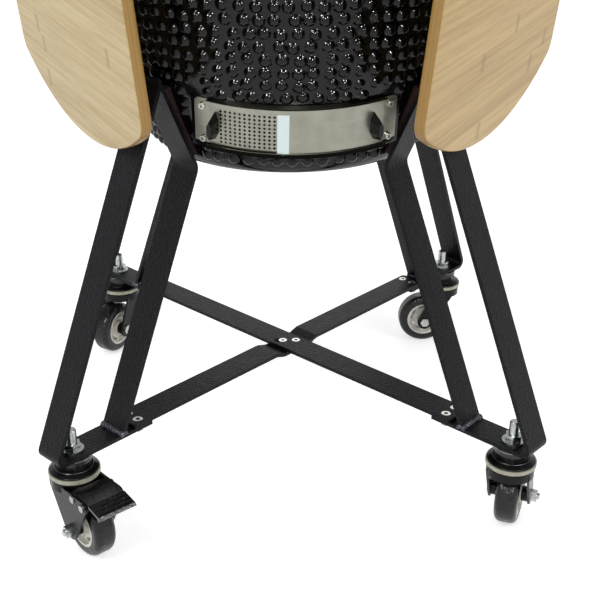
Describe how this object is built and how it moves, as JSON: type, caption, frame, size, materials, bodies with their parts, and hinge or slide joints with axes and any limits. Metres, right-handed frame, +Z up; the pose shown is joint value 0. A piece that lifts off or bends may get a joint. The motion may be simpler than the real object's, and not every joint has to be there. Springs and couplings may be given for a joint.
{
  "type": "kamado grill cart",
  "caption": "Ceramic kamado grill in a splayed flat-bar cart on swivel casters, with drop-down bamboo side shelves and a sliding draft door.",
  "frame": {"origin": "on the floor, under the bowl's axis and the crossing of the braces", "axes": "+Z up along the bowl axis, -Y to the front with the draft door, +X to the right seen from the front"},
  "size_m": [0.6637, 0.6534, 1.0233],
  "materials": {
    "powder_coat": "fine textured black powder coat",
    "glaze": "glossy black glaze over a dimpled clay body",
    "fireclay": "unglazed fireclay",
    "bamboo": "clear lacquered bamboo, laid flat in plies",
    "stainless": "brushed stainless sheet",
    "zinc": "bright zinc plated",
    "black_steel": "gloss black pressed steel",
    "ring": "off-white dust ring",
    "rim": "cream wheel centre",
    "tread": "black polyurethane tread",
    "knob": "black moulded knob",
    "pad": "reddish heat pad",
    "iron": "bare cast iron",
    "cap": "black enamelled cast iron",
    "dial": "steel dial case"
  },
  "bodies": {
    "cart": {"leg_front_left": "powder_coat", "cradle_front_left": "powder_coat", "leg_front_right": "powder_coat", "cradle_front_right": "powder_coat", "leg_back_left": "powder_coat", "cradle_back_left": "powder_coat", "leg_back_right": "powder_coat", "cradle_back_right": "powder_coat", "cross_bar_long": "powder_coat", "cross_bar_front": "powder_coat", "cross_bar_back": "powder_coat", "brace_screws": "zinc", "brace_nuts": "zinc", "cradle_pads": "pad", "caster_stems": "zinc", "stem_nuts": "zinc", "swivel_rings": "ring", "bowl": "glaze", "draft_frame": "stainless", "draft_screws": "stainless", "firebox": "fireclay", "fire_ring": "fireclay", "fire_grate": "iron", "cooking_grate": "stainless", "lower_band": "powder_coat", "shelf_brackets": "powder_coat", "hinge_base": "powder_coat", "hinge_pin": "zinc"},
    "caster_front_left": {"fork_front_left": "black_steel", "axle_front_left": "zinc"},
    "wheel_front_left": {"rim_front_left": "rim", "tyre_front_left": "tread"},
    "brake": {"brake_pedal": "black_steel"},
    "caster_front_right": {"fork_front_right": "black_steel", "axle_front_right": "zinc"},
    "wheel_front_right": {"rim_front_right": "rim", "tyre_front_right": "tread"},
    "caster_back_left": {"fork_back_left": "black_steel", "axle_back_left": "zinc"},
    "wheel_back_left": {"rim_back_left": "rim", "tyre_back_left": "tread"},
    "caster_back_right": {"fork_back_right": "black_steel", "axle_back_right": "zinc"},
    "wheel_back_right": {"rim_back_right": "rim", "tyre_back_right": "tread"},
    "draft_door": {"draft_door": "stainless", "door_knob": "knob"},
    "draft_screen": {"draft_screen": "stainless", "screen_knob": "knob"},
    "left_shelf": {"left_shelf": "bamboo", "left_shelf_arms": "powder_coat"},
    "right_shelf": {"right_shelf": "bamboo", "right_shelf_arms": "powder_coat"},
    "lid": {"lid": "glaze", "upper_band": "powder_coat", "hinge_arms": "powder_coat", "handle": "bamboo", "vent_base": "cap", "thermometer": "dial"},
    "vent": {"vent_cap": "cap"}
  },
  "joints": [
    {"name": "swivel_front_left", "type": "hinge", "parent": "cart", "child": "caster_front_left", "pos_m": [-0.26, -0.26, 0.098], "axis": [0, 0, 1], "continuous": true},
    {"name": "spin_front_left", "type": "hinge", "parent": "caster_front_left", "child": "wheel_front_left", "pos_m": [-0.24385, -0.28038, 0.04], "axis": [0.7837, 0.6211, 0], "continuous": true},
    {"name": "brake_press", "type": "hinge", "parent": "caster_front_left", "child": "brake", "pos_m": [-0.22397, -0.30545, 0.088], "axis": [0.7837, 0.6211, 0], "range_deg": [0, 9]},
    {"name": "swivel_front_right", "type": "hinge", "parent": "cart", "child": "caster_front_right", "pos_m": [0.26, -0.26, 0.098], "axis": [0, 0, 1], "continuous": true},
    {"name": "spin_front_right", "type": "hinge", "parent": "caster_front_right", "child": "wheel_front_right", "pos_m": [0.27024, -0.2361, 0.04], "axis": [-0.9191, 0.3939, 0], "continuous": true},
    {"name": "swivel_back_left", "type": "hinge", "parent": "cart", "child": "caster_back_left", "pos_m": [-0.26, 0.26, 0.098], "axis": [0, 0, 1], "continuous": true},
    {"name": "spin_back_left", "type": "hinge", "parent": "caster_back_left", "child": "wheel_back_left", "pos_m": [-0.273, 0.23748, 0.04], "axis": [0.866, -0.5, 0], "continuous": true},
    {"name": "swivel_back_right", "type": "hinge", "parent": "cart", "child": "caster_back_right", "pos_m": [0.26, 0.26, 0.098], "axis": [0, 0, 1], "continuous": true},
    {"name": "spin_back_right", "type": "hinge", "parent": "caster_back_right", "child": "wheel_back_right", "pos_m": [0.234, 0.26, 0.04], "axis": [0, -1, 0], "continuous": true},
    {"name": "draft_door_slide", "type": "hinge", "parent": "cart", "child": "draft_door", "pos_m": [0.00017, -0.00826, 0.53054], "axis": [0.0044, -0.2079, 0.9781], "range_deg": [-12, 0]},
    {"name": "draft_screen_slide", "type": "hinge", "parent": "cart", "child": "draft_screen", "pos_m": [0.00017, -0.00826, 0.53054], "axis": [0.0044, -0.2079, 0.9781], "range_deg": [0, 6]},
    {"name": "left_shelf_fold", "type": "hinge", "parent": "cart", "child": "left_shelf", "pos_m": [-0.23407, -0.13953, 0.7474], "axis": [-0.512, 0.859, 0], "range_deg": [0, 96]},
    {"name": "right_shelf_fold", "type": "hinge", "parent": "cart", "child": "right_shelf", "pos_m": [0.2182, -0.16323, 0.7474], "axis": [-0.599, -0.8007, 0], "range_deg": [0, 96]},
    {"name": "lid_lift", "type": "hinge", "parent": "cart", "child": "lid", "pos_m": [0.01518, 0.2896, 0.778], "axis": [-0.9986, 0.0523, 0], "range_deg": [0, 70]},
    {"name": "vent_turn", "type": "hinge", "parent": "lid", "child": "vent", "pos_m": [0, 0, 1.013], "axis": [0, 0, 1], "continuous": true}
  ]
}
